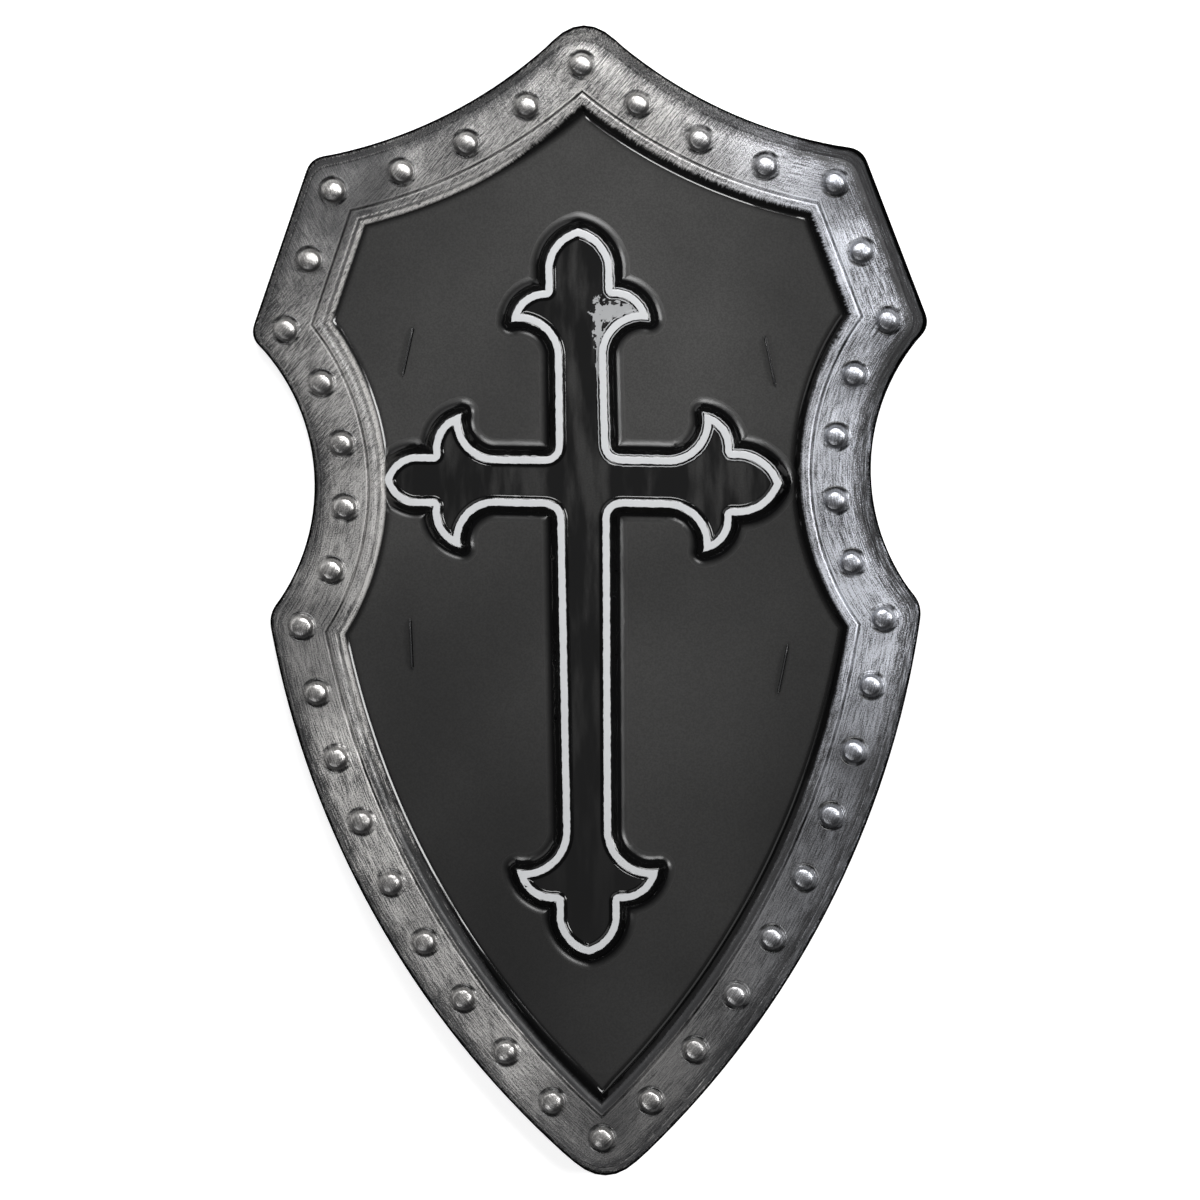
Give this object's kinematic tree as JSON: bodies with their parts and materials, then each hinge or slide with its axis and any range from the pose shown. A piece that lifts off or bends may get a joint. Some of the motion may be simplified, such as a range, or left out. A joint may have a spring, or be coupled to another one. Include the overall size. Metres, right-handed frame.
{
  "type": "costume shield",
  "caption": "Costume shield of thin pressed black plastic: silver-brushed border with rivet domes, sunken grey field, raised cross outlined in white, flat straps behind",
  "frame": {"origin": "Middle of the turned-out rim's underside, in the plane on which the shield lies", "axes": "+Y towards the peak, +Z out of the front, +X to the right of someone who looks at the front"},
  "size_m": [0.357, 0.61, 0.026],
  "materials": {
    "pressed_sheet": "glossy black sheet, silver dry-brushed on the border, white line printed round the cross",
    "strap_plastic": "satin black"
  },
  "bodies": {
    "root": {"shield_shell": "pressed_sheet", "upper_strap": "strap_plastic", "lower_strap": "strap_plastic"}
  },
  "joints": []
}
